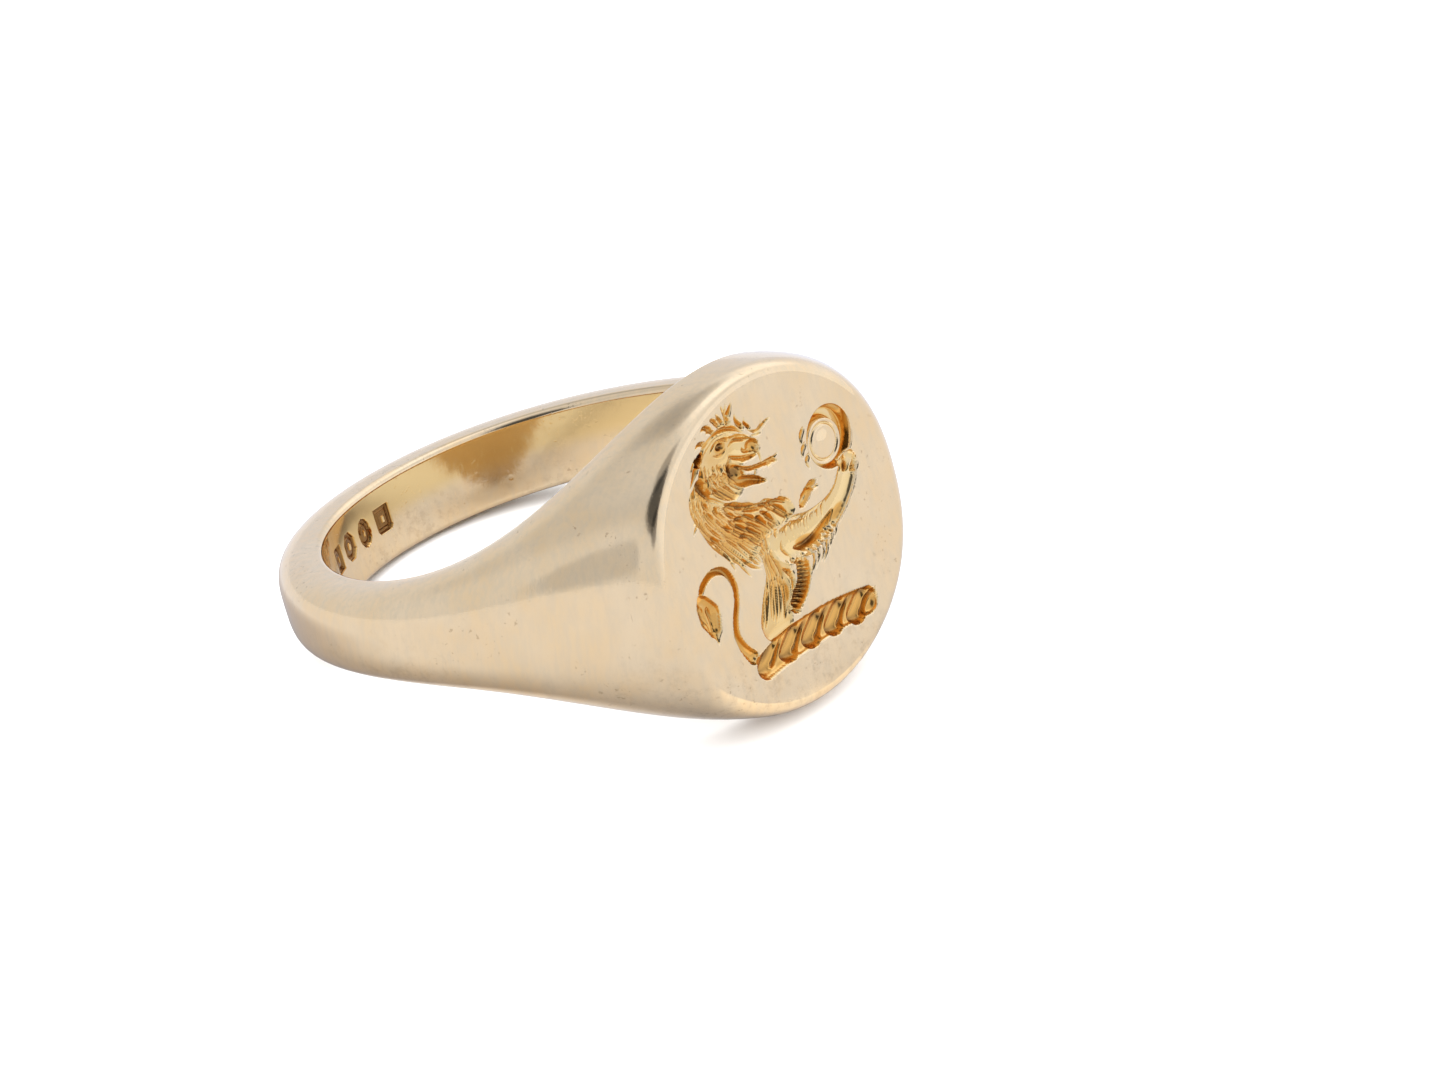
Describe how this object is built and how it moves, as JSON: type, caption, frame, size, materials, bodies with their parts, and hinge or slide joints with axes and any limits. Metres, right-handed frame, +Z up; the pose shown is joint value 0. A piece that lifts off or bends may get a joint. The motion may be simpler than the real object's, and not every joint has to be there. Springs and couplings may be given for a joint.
{
  "type": "signet ring",
  "caption": "Solid gold finger ring lying on its side, with a cushion-round face engraved with a crest, tapering shoulders and a D-section band.",
  "frame": {"origin": "middle of the footprint on the table that the ring lies on", "axes": "+X toward the seal face, along the ring's longest extent, +Z up, its shortest extent; the finger hole leans 14 degrees back from +Z because the head is taller than the band"},
  "size_m": [0.0212, 0.02, 0.0116],
  "materials": {
    "polished_gold": "polished, with fine wear",
    "gold_solder": "polished"
  },
  "bodies": {
    "root": {"seal_plate": "polished_gold", "plate_solder": "gold_solder", "head_block": "polished_gold", "left_head_solder": "gold_solder", "right_head_solder": "gold_solder", "left_shoulder": "polished_gold", "right_shoulder": "polished_gold", "left_shank_solder": "gold_solder", "right_shank_solder": "gold_solder", "shank": "polished_gold"}
  },
  "joints": []
}
